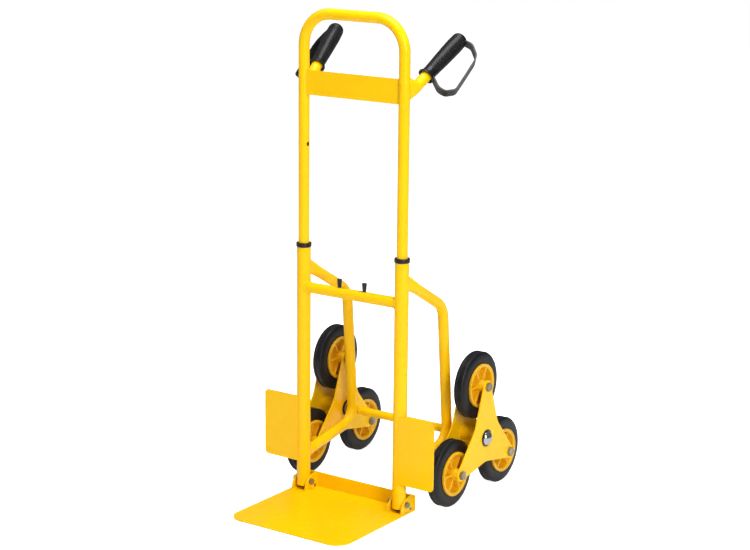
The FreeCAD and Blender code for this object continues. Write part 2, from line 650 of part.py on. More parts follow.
def cluster_plate(x0):
    """Three arms with round tips and smooth concave edges between them."""
    axle = V(x0, AXLE_Y, AXLE_Z)
    edges = []
    last = None
    first = None
    for k in range(WHEEL_COUNT):
        a = math.radians(90.0 + 360.0 * k / WHEEL_COUNT)
        b = a + math.pi / WHEEL_COUNT
        c = a - math.pi / WHEEL_COUNT
        tip = axle.add(V(0, ARM * math.cos(a), ARM * math.sin(a)))
        after = axle.add(V(0, WAIST * math.cos(b), WAIST * math.sin(b)))
        before = axle.add(V(0, WAIST * math.cos(c), WAIST * math.sin(c)))
        far = tip.add(V(0, ARM_TIP_R * math.cos(a), ARM_TIP_R * math.sin(a)))
        touch = []
        for waist, sign_ in ((before, 1), (after, -1)):
            to = waist.sub(tip)
            base = math.atan2(to.z, to.y)
            swing = math.acos(ARM_TIP_R / to.Length) * sign_
            ang = base + swing
            touch.append(tip.add(V(0, ARM_TIP_R * math.cos(ang), ARM_TIP_R * math.sin(ang))))
        arm_dir = touch[1].sub(after)
        arm_dir.normalize()
        axis_dir = after.sub(axle)
        axis_dir.normalize()
        half = arm_dir.getAngle(axis_dir)
        reach = WAIST_BEND / math.tan(half)
        p = after.add(V(arm_dir).multiply(reach))
        other = V(axis_dir).multiply(2 * arm_dir.dot(axis_dir)).sub(arm_dir)
        q = after.add(V(other).multiply(reach))
        m = after.add(V(axis_dir).multiply(WAIST_BEND / math.sin(half) - WAIST_BEND))
        if last is not None:
            edges.append(Part.LineSegment(last, touch[0]).toShape())
        else:
            first = touch[0]
        edges.append(Part.Arc(touch[0], far, touch[1]).toShape())
        edges.append(Part.LineSegment(touch[1], p).toShape())
        edges.append(Part.Arc(p, m, q).toShape())
        last = q
    edges.append(Part.LineSegment(last, first).toShape())
    plate = Part.Face(Part.Wire(edges)).extrude(V(PLATE_THICK, 0, 0))
    plate = plate.cut(cyl_x(HUB_TUBE_R, x0 - 1, x0 + PLATE_THICK + 1, AXLE_Y, AXLE_Z))
    for c in CENTRES:
        plate = plate.cut(cyl_x(WHEEL_BOLT_R, x0 - 1, x0 + PLATE_THICK + 1, c.y, c.z))
    return plate


outer_in = CLUSTER_X + PLATE_INNER_HALF
inner_in = CLUSTER_X - PLATE_INNER_HALF - PLATE_THICK
save_pair("cluster_outer_plate", cluster_plate(outer_in))
save_pair("cluster_inner_plate", cluster_plate(inner_in))

hub = cyl_x(HUB_TUBE_R, hub_in, hub_out, AXLE_Y, AXLE_Z)
hub = hub.cut(cyl_x(HUB_BORE_R, hub_in - 1, hub_out + 1, AXLE_Y, AXLE_Z))
save_pair("cluster_hub_tube", hub)

bush_bore = cyl_x(AXLE_R + RUN, hub_in - 5, hub_out + 5, AXLE_Y, AXLE_Z)
bush_a = cyl_x(HUB_BORE_R, hub_in, hub_in + BUSH_LENGTH, AXLE_Y, AXLE_Z)
bush_a = bush_a.fuse(cyl_x(BUSH_FLANGE_R, hub_in - BUSH_FLANGE_T, hub_in, AXLE_Y, AXLE_Z))
bush_b = cyl_x(HUB_BORE_R, hub_out - BUSH_LENGTH, hub_out, AXLE_Y, AXLE_Z)
bush_b = bush_b.fuse(cyl_x(BUSH_FLANGE_R, hub_out, hub_out + BUSH_FLANGE_T, AXLE_Y, AXLE_Z))
bush_a = bush_a.removeSplitter().cut(bush_bore)
bush_b = bush_b.removeSplitter().cut(bush_bore)
save_pair("cluster_bushes", Part.makeCompound([bush_a, bush_b]))

bolts = []
nuts = []
washers = []
bolt_head_x = outer_in + PLATE_THICK
nut_face_x = inner_in
washer_t = PLATE_INNER_HALF - BOSS_HALF - GAP
for c in CENTRES:
    one = cyl_x(WHEEL_BOLT_R, nut_face_x - WHEEL_NUT_H - 2.0, bolt_head_x + 1, c.y, c.z)
    one = one.fuse(hexagon(WHEEL_BOLT_AF, WHEEL_HEAD_H, V(bolt_head_x, c.y, c.z), 1))
    bolts.append(one.removeSplitter())
    one = hexagon(WHEEL_BOLT_AF, WHEEL_NUT_H, V(nut_face_x, c.y, c.z), -1)
    nuts.append(one.cut(cyl_x(WHEEL_BOLT_R, nut_face_x - 20, nut_face_x + 1, c.y, c.z)))
    for x0 in (inner_in + PLATE_THICK, outer_in - washer_t):
        one = cyl_x(2 * WHEEL_BOLT_R, x0, x0 + washer_t, c.y, c.z)
        washers.append(one.cut(cyl_x(WHEEL_BOLT_R, x0 - 1, x0 + washer_t + 1, c.y, c.z)))
save_pair("wheel_bolts", Part.makeCompound(bolts))
save_pair("wheel_nuts", Part.makeCompound(nuts))
save_pair("wheel_washers", Part.makeCompound(washers))


# ================================================================ wheels
def tyre(y, z):
    w = TYRE_HALF_W
    half = [
        (0.0, TYRE_R - TYRE_GROOVE), (TYRE_LAND_IN, TYRE_R - TYRE_GROOVE),
        (TYRE_LAND_IN + 1.4, TYRE_R), (TYRE_LAND_OUT, TYRE_R), (w - 3.7, TYRE_R - 1.5),
        (w - 1.9, TYRE_R - 4.6), (w - 0.7, TYRE_R - 9.0), (w, TYRE_R - 15.0), (w, RIM_R + 3.0),
        (RIM_HALF_W - RIM_FLANGE + 0.4, RIM_R), (RIM_HALF_W - RIM_FLANGE, RIM_SEAT_R),
        (0.0, RIM_SEAT_R),
    ]
    back = [(-a, r) for a, r in reversed(half[1:-1])]
    return revolved_x(half + back, CLUSTER_X, y, z)


def rim(y, z):
    w = RIM_HALF_W
    f = RIM_FLANGE
    half = [
        (0.0, RIM_SEAT_R), (w - f, RIM_SEAT_R), (w - f + 0.4, RIM_R), (w, RIM_R),
        (w, RIM_R - 2.6), (w - 1.6, RIM_INNER_R + 1.5), (WEB_THICK / 2, RIM_INNER_R - 1.0),
        (WEB_THICK / 2, BOSS_R + 1.5), (BOSS_HALF - 12.0, BOSS_R + 0.6), (BOSS_HALF, BOSS_R - 1.5),
    ]
    bore = WHEEL_BOLT_R + RUN
    back = [(-a, r) for a, r in reversed(half[1:])]
    outline = half + [(BOSS_HALF, bore), (-BOSS_HALF, bore)] + back
    body = revolved_x(outline, CLUSTER_X, y, z)
    hole = cyl_x(BOSS_R - 3.0, CLUSTER_X - 40, CLUSTER_X + 40, y, z)
    for k in range(RIB_COUNT):
        rib = box(CLUSTER_X - w + 3.6, CLUSTER_X + w - 3.6, y - RIB_THICK / 2, y + RIB_THICK / 2,
                  z + BOSS_R - 1.5, z + RIM_INNER_R + 2.0)
        rib.rotate(V(CLUSTER_X, y, z), V(1, 0, 0), 360.0 * k / RIB_COUNT + 30.0)
        body = body.fuse(rib.cut(hole))
    return body.removeSplitter()


for tag, c in zip(("top", "front", "rear"), CENTRES):
    save_pair(tag + "_tyre", tyre(c.y, c.z))
    save_pair(tag + "_rim", rim(c.y, c.z))
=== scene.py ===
# %% [markdown]
# # Stair climbing trolley
# This script only adds what the eye sees: paint, rubber, plastic and metal, the welds that join the
# tubes, the raised dots on the grips, the light and the camera.
#
# Lengths are in metres. +Z is up, the toe plate points to -Y and the wheels are at +Y.

# %% Load the frame
import json
import math
import bpy
from mathutils import Matrix, Vector


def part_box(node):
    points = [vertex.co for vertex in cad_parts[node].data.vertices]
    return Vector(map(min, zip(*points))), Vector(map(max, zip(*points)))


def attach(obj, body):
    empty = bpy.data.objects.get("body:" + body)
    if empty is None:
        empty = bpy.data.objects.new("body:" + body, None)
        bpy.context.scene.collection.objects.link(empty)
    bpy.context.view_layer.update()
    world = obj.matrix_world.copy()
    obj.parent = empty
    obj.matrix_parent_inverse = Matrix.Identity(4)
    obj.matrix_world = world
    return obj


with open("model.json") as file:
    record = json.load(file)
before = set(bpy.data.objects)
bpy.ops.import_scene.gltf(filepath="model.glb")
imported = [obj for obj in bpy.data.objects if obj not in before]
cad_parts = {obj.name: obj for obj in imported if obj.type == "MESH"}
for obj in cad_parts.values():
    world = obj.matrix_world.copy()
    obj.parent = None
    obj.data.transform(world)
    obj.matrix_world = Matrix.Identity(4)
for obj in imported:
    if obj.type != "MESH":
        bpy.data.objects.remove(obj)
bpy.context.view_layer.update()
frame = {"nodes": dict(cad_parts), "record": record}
nodes = frame["nodes"]
SIDES = (("left", -1.0), ("right", 1.0))

# %% [markdown]
# ## Sizes that the added pieces need
# They are read from the CAD nodes where a node shows them, so a changed CAD model moves them too.

# %% Sizes
low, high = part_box("right_upright_tube")
UPRIGHT_X = (low.x + high.x) / 2
UPRIGHT_R = (high.x - low.x) / 2
low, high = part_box("crossbar")
CROSSBAR_Z = (low.z + high.z) / 2
CROSSBAR_R = (high.z - low.z) / 2
low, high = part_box("axle_bar")
AXLE_Y = (low.y + high.y) / 2
AXLE_Z = (low.z + high.z) / 2
AXLE_R = (high.z - low.z) / 2
INNER_R = (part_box("inner_tube")[1].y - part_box("inner_tube")[0].y) / 2
GRIP_START = Vector((0.14875, 0.0642, 0.9958))
GRIP_WAY = Vector((0.1606, 0.8091, 0.5653)).normalized()
print("upright", round(UPRIGHT_X, 4), "axle", round(AXLE_Y, 4), round(AXLE_Z, 4))

# %% [markdown]
# ## Camera
# A long lens about 1.5 m above the floor, 35 degrees round from the front towards +X, looking down
# by 13 degrees.

# %% Camera
AZIMUTH = math.radians(34.61)
PITCH = math.radians(13.39)
ROLL = math.radians(0.58)
CAMERA_PLACE = (2.4385, -3.4419, 1.5440)
LENS_MM = 91.93
SENSOR_MM = 36.0
forward = Vector((
    -math.sin(AZIMUTH) * math.cos(PITCH),
    math.cos(AZIMUTH) * math.cos(PITCH),
    -math.sin(PITCH)))
level = Vector((math.cos(AZIMUTH), math.sin(AZIMUTH), 0.0))
upward = level.cross(forward)
right_hand = level * math.cos(ROLL) + upward * math.sin(ROLL)
up_hand = upward * math.cos(ROLL) - level * math.sin(ROLL)
lens = bpy.data.cameras.new("camera")
lens.sensor_width = SENSOR_MM
lens.sensor_fit = "HORIZONTAL"
lens.lens = LENS_MM
lens.clip_end = 50.0
camera = bpy.data.objects.new("camera", lens)
turn = Matrix((right_hand, up_hand, -forward)).transposed().to_4x4()
camera.matrix_world = Matrix.Translation(CAMERA_PLACE) @ turn
bpy.context.scene.collection.objects.link(camera)
bpy.context.scene.camera = camera
print("camera lens", lens.lens)

# %% [markdown]
# ## Floor, light and background
# A plain white studio. The world is white where the camera sees it, and the floor glows for the
# camera, so both stay white behind the trolley. What lights the paint is much dimmer: a soft
# grey-to-white gradient, one strong softbox on the right, one overhead and a faint one on the left.
# So a round tube has a bright side and a darker edge.

# %% Studio
def area_light(name, place, aim, wide, tall, watts):
    data = bpy.data.lights.new(name, "AREA")
    data.shape = "RECTANGLE"
    data.size = wide
    data.size_y = tall
    data.energy = watts
    lamp = bpy.data.objects.new(name, data)
    look = (Vector(aim) - Vector(place)).to_track_quat("-Z", "Y").to_matrix().to_4x4()
    lamp.matrix_world = Matrix.Translation(place) @ look
    bpy.context.scene.collection.objects.link(lamp)
    return lamp


WORLD_LIGHT = 0.25
FLOOR_HALF = 9.0
FLOOR_DROP = 0.0006
FLOOR_GLOW_SEEN = 0.80
FLOOR_GLOW_ALWAYS = 0.08
area_light("right softbox", (3.12, -1.85, 1.9), (0.0, 0.0, 0.6), 1.0, 2.4, 90.0)
area_light("overhead softbox", (0.3, -0.2, 3.2), (0.0, 0.0, 0.3), 2.2, 1.6, 82.0)
area_light("left softbox", (-2.6, -1.6, 1.8), (0.0, 0.0, 0.6), 0.9, 2.2, 6.0)

world = bpy.data.worlds.new("white studio")
bpy.context.scene.world = world
world.use_nodes = True
wt = world.node_tree
wt.nodes.clear()
w_out = wt.nodes.new("ShaderNodeOutputWorld")
w_mix = wt.nodes.new("ShaderNodeMixShader")
w_see = wt.nodes.new("ShaderNodeBackground")
w_see.inputs["Color"].default_value = (1, 1, 1, 1)
w_see.inputs["Strength"].default_value = 1.0
w_lit = wt.nodes.new("ShaderNodeBackground")
w_ramp = wt.nodes.new("ShaderNodeValToRGB")
w_ramp.color_ramp.elements[0].position = 0.42
w_ramp.color_ramp.elements[0].color = (0.50, 0.49, 0.47, 1)
w_ramp.color_ramp.elements[1].position = 0.80
w_ramp.color_ramp.elements[1].color = (1, 1, 1, 1)
w_co = wt.nodes.new("ShaderNodeTexCoord")
w_sep = wt.nodes.new("ShaderNodeSeparateXYZ")
w_map = wt.nodes.new("ShaderNodeMapRange")
w_map.inputs["From Min"].default_value = -1.0
w_lit.inputs["Strength"].default_value = WORLD_LIGHT
w_ray = wt.nodes.new("ShaderNodeLightPath")
wt.links.new(w_co.outputs["Generated"], w_sep.inputs[0])
wt.links.new(w_sep.outputs["Z"], w_map.inputs["Value"])
wt.links.new(w_map.outputs[0], w_ramp.inputs[0])
wt.links.new(w_ramp.outputs[0], w_lit.inputs["Color"])
wt.links.new(w_ray.outputs["Is Camera Ray"], w_mix.inputs[0])
wt.links.new(w_lit.outputs[0], w_mix.inputs[1])
wt.links.new(w_see.outputs[0], w_mix.inputs[2])
wt.links.new(w_mix.outputs[0], w_out.inputs[0])

floor_mesh = bpy.data.meshes.new("floor")
corner_signs = ((-1, -1), (1, -1), (1, 1), (-1, 1))
floor_corners = [(x * FLOOR_HALF, y * FLOOR_HALF, -FLOOR_DROP) for x, y in corner_signs]
floor_mesh.from_pydata(floor_corners, [], [(0, 1, 2, 3)])
floor = bpy.data.objects.new("floor", floor_mesh)
bpy.context.scene.collection.objects.link(floor)
floor_paint = bpy.data.materials.new("studio floor")
floor_paint.use_nodes = True
ft = floor_paint.node_tree
fb = ft.nodes["Principled BSDF"]
fb.inputs["Base Color"].default_value = (0.93, 0.93, 0.93, 1)
fb.inputs["Roughness"].default_value = 0.9
fb.inputs["Specular IOR Level"].default_value = 0.1
fb.inputs["Emission Color"].default_value = (1, 1, 1, 1)
f_ray = ft.nodes.new("ShaderNodeLightPath")
f_glow = ft.nodes.new("ShaderNodeMath")
f_glow.operation = "MULTIPLY_ADD"
f_glow.inputs[1].default_value = FLOOR_GLOW_SEEN
f_glow.inputs[2].default_value = FLOOR_GLOW_ALWAYS
ft.links.new(f_ray.outputs["Is Camera Ray"], f_glow.inputs[0])
ft.links.new(f_glow.outputs[0], fb.inputs["Emission Strength"])
floor_mesh.materials.append(floor_paint)
bpy.context.scene.view_settings.view_transform = "Standard"
print("studio ready")

# %% [markdown]
# ## Effects shared by the materials
# Each effect is one shader group. It reads Object coordinates, so it stays put on its piece.
#
# * **soft edges and grain**: rounds sharp edges for the light and adds a fine uneven surface
# * **patchy**: a slow light and dark variation for colour and gloss
# * **edge highlight mask**: finds sharp edges, where a material mixes in a lighter tone as a painted
#   highlight

# %% Shader groups
def new_group(name, inputs, outputs):
    tree = bpy.data.node_groups.new(name, "ShaderNodeTree")
    for label, kind, value in inputs:
        sock = tree.interface.new_socket(name=label, in_out="INPUT", socket_type=kind)
        sock.default_value = value
    for label, kind in outputs:
        tree.interface.new_socket(name=label, in_out="OUTPUT", socket_type=kind)
    return tree, tree.nodes.new("NodeGroupInput"), tree.nodes.new("NodeGroupOutput")


def add(tree, kind, **settings):
    node = tree.nodes.new(kind)
    for key, value in settings.items():
        setattr(node, key, value)
    return node


grain_tree, gi, go = new_group(
    "soft edges and grain",
    [("Edge Radius", "NodeSocketFloat", 0.0006), ("Grain Scale", "NodeSocketFloat", 600.0),
     ("Grain Depth", "NodeSocketFloat", 0.1), ("Wave Scale", "NodeSocketFloat", 40.0),
     ("Wave Depth", "NodeSocketFloat", 0.05)],
    [("Normal", "NodeSocketVector"), ("Grain", "NodeSocketFloat")])
co = add(grain_tree, "ShaderNodeTexCoord")
fine = add(grain_tree, "ShaderNodeTexNoise")
fine.inputs["Detail"].default_value = 3.0
slow = add(grain_tree, "ShaderNodeTexNoise")
slow.inputs["Detail"].default_value = 1.0
edge = add(grain_tree, "ShaderNodeBevel", samples=4)
bump_a = add(grain_tree, "ShaderNodeBump")
bump_a.inputs["Distance"].default_value = 0.0002
bump_b = add(grain_tree, "ShaderNodeBump")
bump_b.inputs["Distance"].default_value = 0.001
link = grain_tree.links.new
link(co.outputs["Object"], fine.inputs["Vector"])
link(co.outputs["Object"], slow.inputs["Vector"])
link(gi.outputs["Grain Scale"], fine.inputs["Scale"])
link(gi.outputs["Wave Scale"], slow.inputs["Scale"])
link(gi.outputs["Edge Radius"], edge.inputs["Radius"])
link(slow.outputs["Fac"], bump_b.inputs["Height"])
link(gi.outputs["Wave Depth"], bump_b.inputs["Strength"])
link(edge.outputs["Normal"], bump_b.inputs["Normal"])
link(fine.outputs["Fac"], bump_a.inputs["Height"])
link(gi.outputs["Grain Depth"], bump_a.inputs["Strength"])
link(bump_b.outputs["Normal"], bump_a.inputs["Normal"])
link(bump_a.outputs["Normal"], go.inputs["Normal"])
link(fine.outputs["Fac"], go.inputs["Grain"])

patch_tree, gi, go = new_group(
    "patchy",
    [("Scale", "NodeSocketFloat", 9.0), ("Low", "NodeSocketFloat", 0.0), ("High", "NodeSocketFloat", 1.0)],
    [("Value", "NodeSocketFloat")])
co = add(patch_tree, "ShaderNodeTexCoord")
cloud = add(patch_tree, "ShaderNodeTexNoise")
cloud.inputs["Detail"].default_value = 4.0
spread = add(patch_tree, "ShaderNodeMapRange")
spread.inputs["From Min"].default_value = 0.3
spread.inputs["From Max"].default_value = 0.7
link = patch_tree.links.new
link(co.outputs["Object"], cloud.inputs["Vector"])
link(gi.outputs["Scale"], cloud.inputs["Scale"])
link(cloud.outputs["Fac"], spread.inputs["Value"])
link(gi.outputs["Low"], spread.inputs["To Min"])
link(gi.outputs["High"], spread.inputs["To Max"])
link(spread.outputs[0], go.inputs["Value"])

# Sharp edges for the painted edge highlight: where the rounded normal turns away from the flat one.
edge_highlight_tree, gi, go = new_group(
    "edge highlight mask", [("Width", "NodeSocketFloat", 0.0015)], [("Edge", "NodeSocketFloat")])
wide = add(edge_highlight_tree, "ShaderNodeBevel", samples=4)
flat = add(edge_highlight_tree, "ShaderNodeNewGeometry")
dot = add(edge_highlight_tree, "ShaderNodeVectorMath", operation="DOT_PRODUCT")
less = add(edge_highlight_tree, "ShaderNodeMath", operation="SUBTRACT")
less.inputs[0].default_value = 1.0
more = add(edge_highlight_tree, "ShaderNodeMath", operation="MULTIPLY", use_clamp=True)
more.inputs[1].default_value = 4.0
link = edge_highlight_tree.links.new
link(gi.outputs["Width"], wide.inputs["Radius"])
link(wide.outputs["Normal"], dot.inputs[0])
link(flat.outputs["Normal"], dot.inputs[1])
link(dot.outputs["Value"], less.inputs[1])
link(less.outputs[0], more.inputs[0])
link(more.outputs[0], go.inputs["Edge"])
print("shader groups:", len(bpy.data.node_groups))

# %% [markdown]
# ## Materials
# `finish` builds one material: a main colour and a second one that the slow patches mix in, a gloss
# that varies with the patches, a lighter tone on edges as a painted highlight, and the rounded, grained
# surface.

# %% Material builder
def finish(name, colour, second, metal=0.0, gloss=(0.3, 0.4), edge_radius=0.0006, edge_highlight_tone=None,
           edge_share=0.5, grain=(600.0, 0.1), wave=(40.0, 0.05), patch=9.0, specular=0.5):
    mat = bpy.data.materials.new(name)
    mat.use_nodes = True
    tree = mat.node_tree
    shader = tree.nodes["Principled BSDF"]
    shader.inputs["Metallic"].default_value = metal
    shader.inputs["Specular IOR Level"].default_value = specular
    surface = add(tree, "ShaderNodeGroup", node_tree=grain_tree)
    surface.inputs["Edge Radius"].default_value = edge_radius
    surface.inputs["Grain Scale"].default_value = grain[0]
    surface.inputs["Grain Depth"].default_value = grain[1]
    surface.inputs["Wave Scale"].default_value = wave[0]
    surface.inputs["Wave Depth"].default_value = wave[1]
    tree.links.new(surface.outputs["Normal"], shader.inputs["Normal"])
    slow_mask = add(tree, "ShaderNodeGroup", node_tree=patch_tree)
    slow_mask.inputs["Scale"].default_value = patch
    tint = add(tree, "ShaderNodeMix", data_type="RGBA")
    tint.inputs["A"].default_value = (*colour, 1)
    tint.inputs["B"].default_value = (*second, 1)
    tree.links.new(slow_mask.outputs["Value"], tint.inputs["Factor"])
    colour_out = tint.outputs["Result"]
    # Painted highlight: every sharp edge takes on a lighter tone, as if light caught it.
    if edge_highlight_tone is not None:
        edge_highlight_mask = add(tree, "ShaderNodeGroup", node_tree=edge_highlight_tree)
        edge_highlight_mask.inputs["Width"].default_value = edge_radius * 2.0
        share = add(tree, "ShaderNodeMath", operation="MULTIPLY")
        share.inputs[1].default_value = edge_share
        tree.links.new(edge_highlight_mask.outputs["Edge"], share.inputs[0])
        over = add(tree, "ShaderNodeMix", data_type="RGBA")
        over.inputs["B"].default_value = (*edge_highlight_tone, 1)
        tree.links.new(share.outputs[0], over.inputs["Factor"])
        tree.links.new(colour_out, over.inputs["A"])
        colour_out = over.outputs["Result"]
    tree.links.new(colour_out, shader.inputs["Base Color"])
    sheen = add(tree, "ShaderNodeGroup", node_tree=patch_tree)
    sheen.inputs["Scale"].default_value = patch * 3.0
    sheen.inputs["Low"].default_value = gloss[0]
    sheen.inputs["High"].default_value = gloss[1]
    tree.links.new(sheen.outputs["Value"], shader.inputs["Roughness"])
    return mat


# The lighter edge tone given to each material below is a painted highlight on its edges.
paint = finish("yellow powder coat", (1.0, 0.595, 0.001), (0.96, 0.560, 0.001), gloss=(0.22, 0.30),
               edge_radius=0.0008, edge_highlight_tone=(1.0, 0.62, 0.02), edge_share=0.3,
               grain=(900.0, 0.08), wave=(45.0, 0.06), patch=6.0, specular=0.22)
zinc = finish("zinc plate", (0.42, 0.40, 0.35), (0.24, 0.22, 0.19), metal=1.0, gloss=(0.30, 0.50),
              edge_radius=0.0005, edge_highlight_tone=(0.75, 0.74, 0.70), grain=(1800.0, 0.15),
              wave=(200.0, 0.15), patch=60.0)
bright = finish("drawn steel", (0.50, 0.50, 0.51), (0.40, 0.40, 0.42), metal=1.0, gloss=(0.22, 0.36),
                edge_radius=0.0003, grain=(1500.0, 0.1), wave=(150.0, 0.1), patch=50.0)
chrome = finish("chrome", (0.50, 0.50, 0.52), (0.42, 0.42, 0.44), metal=1.0, gloss=(0.07, 0.13),
                edge_radius=0.0006, grain=(900.0, 0.01), wave=(120.0, 0.03), patch=40.0)
black = finish("black plastic", (0.006, 0.006, 0.006), (0.009, 0.009, 0.009), gloss=(0.16, 0.24),
               edge_radius=0.0007, edge_highlight_tone=(0.03, 0.03, 0.03), grain=(1400.0, 0.10),
               wave=(120.0, 0.05), patch=60.0, specular=0.35)
grip_plastic = finish("grip plastic", (0.004, 0.004, 0.005), (0.007, 0.007, 0.008), gloss=(0.26, 0.36),
                      edge_radius=0.0010, edge_highlight_tone=(0.03, 0.03, 0.033), grain=(1300.0, 0.2),
                      wave=(90.0, 0.05), patch=45.0, specular=0.3)
rubber = finish("tyre rubber", (0.0035, 0.004, 0.006), (0.006, 0.007, 0.010), gloss=(0.34, 0.46),
                edge_radius=0.0012, edge_highlight_tone=(0.022, 0.024, 0.032), grain=(1000.0, 0.2),
                wave=(70.0, 0.12), patch=26.0, specular=0.28)
rim_plastic = finish("orange rim plastic", (0.86, 0.47, 0.003), (0.80, 0.42, 0.003), gloss=(0.30, 0.40),
                     edge_radius=0.0010, edge_highlight_tone=(1.0, 0.64, 0.05), edge_share=0.7,
                     grain=(900.0, 0.08), wave=(90.0, 0.08), patch=30.0, specular=0.3)

LOOKS = {"yellow_paint": paint, "zinc_steel": zinc, "spring_steel": bright, "chrome": chrome,
         "black_plastic": black, "grip_plastic": grip_plastic, "tyre_rubber": rubber,
         "rim_plastic": rim_plastic}
slot_of = {s["node"]: s["material_slot"] for s in frame["record"]["subparts"]}
for name, piece in nodes.items():
    piece.data.materials.clear()
    piece.data.materials.append(LOOKS[slot_of[name]])
print("materials:", len(LOOKS))

# %% [markdown]
# ## Raised dots on the grips
# A Geometry Nodes tree lays a staggered lattice round the sleeve, drops each point onto the grip's
# own surface and sets a low dome there. The lattice is turned into plain mesh before it rides.

# %% Grip dots
def geometry_tree(name, inputs):
    tree = bpy.data.node_groups.new(name, "GeometryNodeTree")
    tree.interface.new_socket(name="Geometry", in_out="INPUT", socket_type="NodeSocketGeometry")
    for label, kind, value in inputs:
        sock = tree.interface.new_socket(name=label, in_out="INPUT", socket_type=kind)
        if value is not None:
            sock.default_value = value
    tree.interface.new_socket(name="Geometry", in_out="OUTPUT", socket_type="NodeSocketGeometry")
    return tree, tree.nodes.new("NodeGroupInput"), tree.nodes.new("NodeGroupOutput")


def set_input(modifier, label, value):
    for item in modifier.node_group.interface.items_tree:
        if item.item_type == "SOCKET" and item.in_out == "INPUT" and item.name == label:
            modifier[item.identifier] = value


def settle(obj):
    """Turns the modifiers' result into plain mesh with its place in its vertices."""
    deps = bpy.context.evaluated_depsgraph_get()
    mesh = bpy.data.meshes.new_from_object(obj.evaluated_get(deps))
    place = obj.matrix_world.copy()
    obj.modifiers.clear()
    obj.data = mesh
    mesh.transform(place)
    obj.matrix_world = Matrix.Identity(4)
    for p in mesh.polygons:
        p.use_smooth = True
    return obj


LATTICE_RADIUS = 0.04        # outside every part of the grip's sleeve
DOT_REACH = 0.035            # how far a point may travel inwards to find the surface
SLEEVE_MAX_RADIUS = 0.0195   # past this a hit is on the hand guard, and gets no dot
dots_tree, gi, go = geometry_tree("grip dots", [
    ("Around", "NodeSocketInt", 34), ("Rows", "NodeSocketInt", 34), ("Start", "NodeSocketFloat", 0.022),
    ("Length", "NodeSocketFloat", 0.104), ("Dot Radius", "NodeSocketFloat", 0.0012),
    ("Dot Height", "NodeSocketFloat", 0.55), ("Grip", "NodeSocketObject", None),
    ("Material", "NodeSocketMaterial", None)])
t = dots_tree
link = t.links.new
grid = add(t, "GeometryNodeMeshGrid")
grid.inputs["Size X"].default_value = 1.0
grid.inputs["Size Y"].default_value = 1.0
pos = add(t, "GeometryNodeInputPosition")
split = add(t, "ShaderNodeSeparateXYZ")
rows_less = add(t, "ShaderNodeMath", operation="SUBTRACT")
rows_less.inputs[1].default_value = 1.0
y_half = add(t, "ShaderNodeMath", operation="ADD")
y_half.inputs[1].default_value = 0.5
row_id = add(t, "ShaderNodeMath", operation="MULTIPLY")
row_round = add(t, "ShaderNodeMath", operation="ROUND")
odd = add(t, "ShaderNodeMath", operation="MODULO")
odd.inputs[1].default_value = 2.0
half_step = add(t, "ShaderNodeMath", operation="DIVIDE")
half_step.inputs[0].default_value = math.pi
stagger = add(t, "ShaderNodeMath", operation="MULTIPLY")
x_half = add(t, "ShaderNodeMath", operation="ADD")
x_half.inputs[1].default_value = 0.5
angle_scale = add(t, "ShaderNodeMath", operation="DIVIDE")
full = add(t, "ShaderNodeMath", operation="MULTIPLY")
full.inputs[1].default_value = 2.0 * math.pi
around_less = add(t, "ShaderNodeMath", operation="SUBTRACT")
around_less.inputs[1].default_value = 1.0
angle = add(t, "ShaderNodeMath", operation="MULTIPLY")
angle_sum = add(t, "ShaderNodeMath", operation="ADD")
cosine = add(t, "ShaderNodeMath", operation="COSINE")
sine = add(t, "ShaderNodeMath", operation="SINE")
out_x = add(t, "ShaderNodeMath", operation="MULTIPLY")
out_x.inputs[1].default_value = LATTICE_RADIUS
out_y = add(t, "ShaderNodeMath", operation="MULTIPLY")
out_y.inputs[1].default_value = LATTICE_RADIUS
along = add(t, "ShaderNodeMath", operation="MULTIPLY_ADD")
ring_pos = add(t, "ShaderNodeCombineXYZ")
put = add(t, "GeometryNodeSetPosition")
link(gi.outputs["Around"], grid.inputs["Vertices X"])
link(gi.outputs["Rows"], grid.inputs["Vertices Y"])
link(pos.outputs[0], split.inputs[0])
link(split.outputs["Y"], y_half.inputs[0])
link(gi.outputs["Rows"], rows_less.inputs[0])
link(y_half.outputs[0], row_id.inputs[0])
link(rows_less.outputs[0], row_id.inputs[1])
link(row_id.outputs[0], row_round.inputs[0])
link(row_round.outputs[0], odd.inputs[0])
link(gi.outputs["Around"], half_step.inputs[1])
link(odd.outputs[0], stagger.inputs[0])
link(half_step.outputs[0], stagger.inputs[1])
link(split.outputs["X"], x_half.inputs[0])
link(gi.outputs["Around"], around_less.inputs[0])
link(around_less.outputs[0], angle_scale.inputs[0])
link(gi.outputs["Around"], angle_scale.inputs[1])
link(angle_scale.outputs[0], full.inputs[0])
link(x_half.outputs[0], angle.inputs[0])
link(full.outputs[0], angle.inputs[1])
link(angle.outputs[0], angle_sum.inputs[0])
link(stagger.outputs[0], angle_sum.inputs[1])
link(angle_sum.outputs[0], cosine.inputs[0])
link(angle_sum.outputs[0], sine.inputs[0])
link(cosine.outputs[0], out_x.inputs[0])
link(sine.outputs[0], out_y.inputs[0])
link(y_half.outputs[0], along.inputs[0])
link(gi.outputs["Length"], along.inputs[1])
link(gi.outputs["Start"], along.inputs[2])
link(out_x.outputs[0], ring_pos.inputs["X"])
link(out_y.outputs[0], ring_pos.inputs["Y"])
link(along.outputs[0], ring_pos.inputs["Z"])
link(grid.outputs["Mesh"], put.inputs["Geometry"])
link(ring_pos.outputs[0], put.inputs["Position"])
points = add(t, "GeometryNodeMeshToPoints")
link(put.outputs[0], points.inputs["Mesh"])
info = add(t, "GeometryNodeObjectInfo", transform_space="RELATIVE")
link(gi.outputs["Grip"], info.inputs["Object"])
pos2 = add(t, "GeometryNodeInputPosition")
to_axis = add(t, "ShaderNodeVectorMath", operation="MULTIPLY")
to_axis.inputs[1].default_value = (-1.0, -1.0, 0.0)
ray = add(t, "GeometryNodeRaycast")
ray.inputs["Ray Length"].default_value = DOT_REACH
